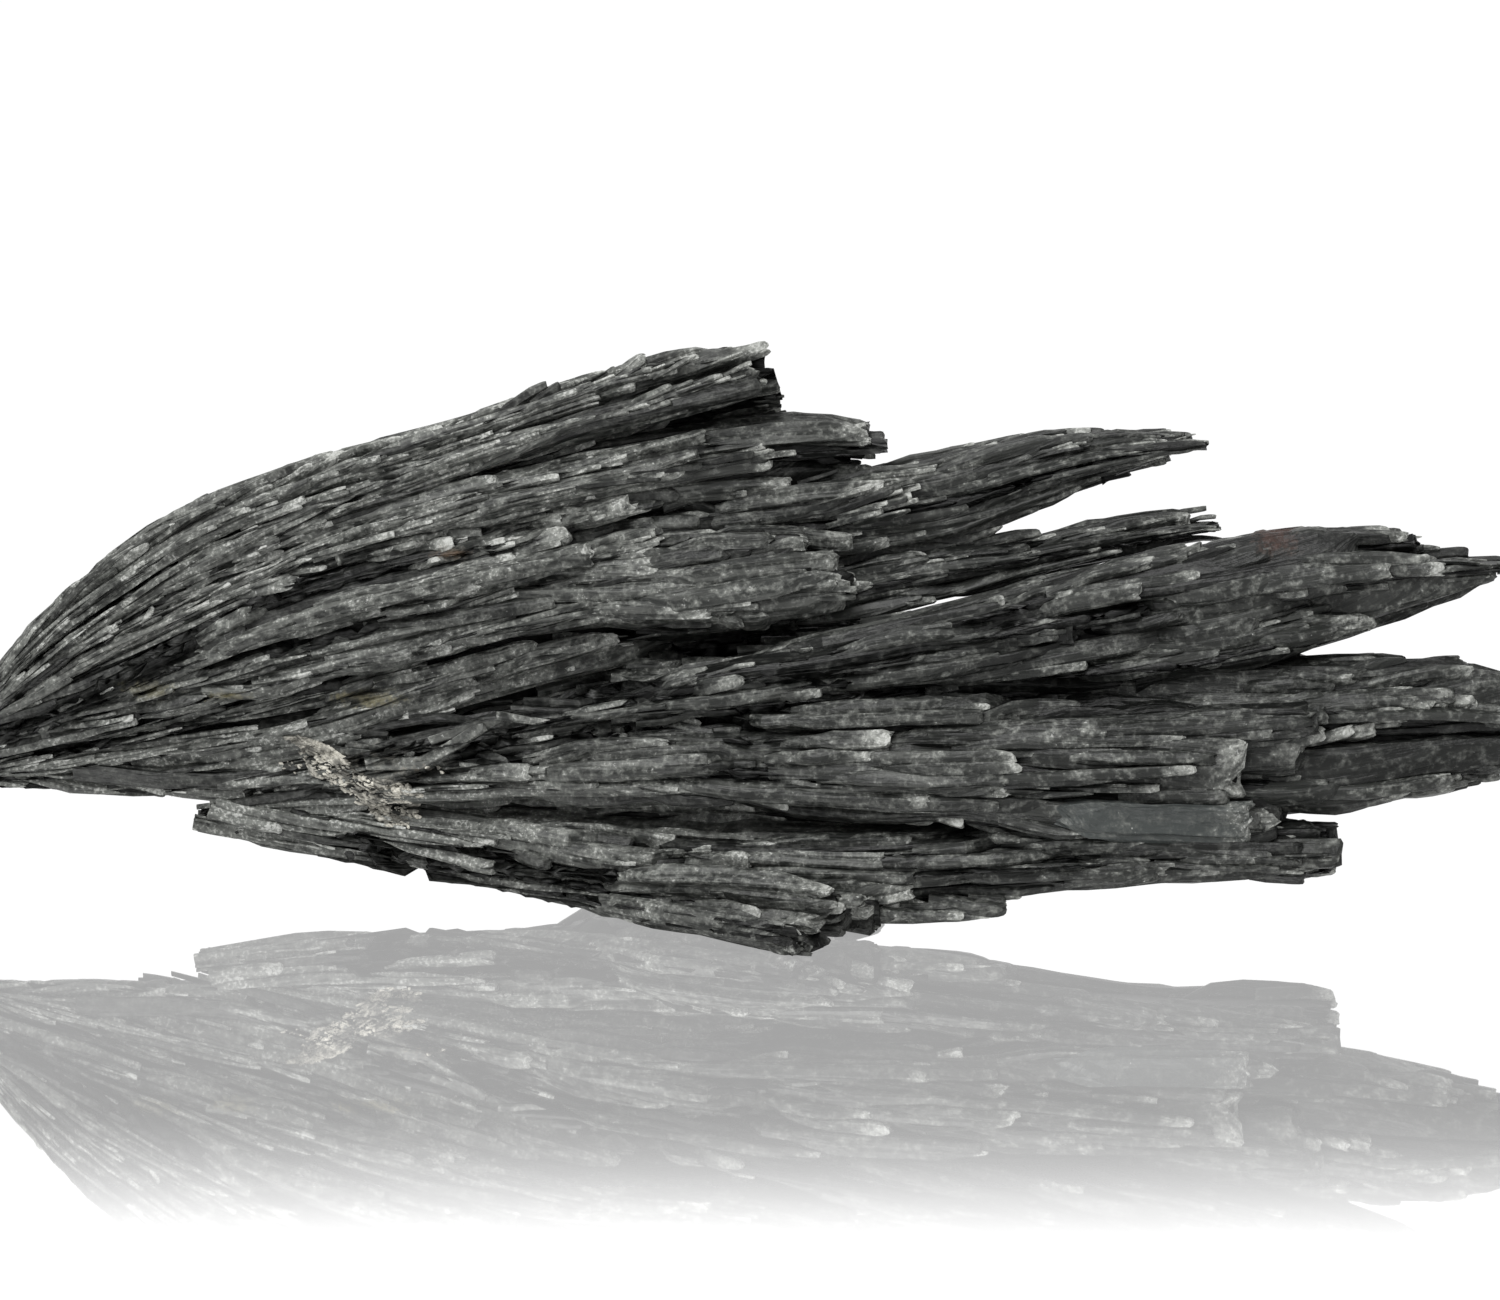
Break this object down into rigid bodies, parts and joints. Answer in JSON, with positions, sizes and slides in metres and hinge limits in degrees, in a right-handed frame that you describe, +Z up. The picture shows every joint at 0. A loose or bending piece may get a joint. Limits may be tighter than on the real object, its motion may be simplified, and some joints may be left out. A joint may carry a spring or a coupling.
{
  "type": "black kyanite fan",
  "caption": "Fan-shaped cluster of dark bladed crystals grown together, spreading from one root end and resting on its lowest blades.",
  "frame": {"origin": "on the surface the cluster rests on, under the middle of its outline seen from above", "axes": "+Z up, +X from the root end to the blade tips, -Y out of the broad face of the fan"},
  "size_m": [0.06, 0.0189, 0.021],
  "materials": {
    "kyanite": "bladed, silky to glassy on the blade faces, rough on the broken ends",
    "crust": "matt grains"
  },
  "bodies": {
    "root": {"kyanite_fan": "kyanite"}
  },
  "joints": []
}
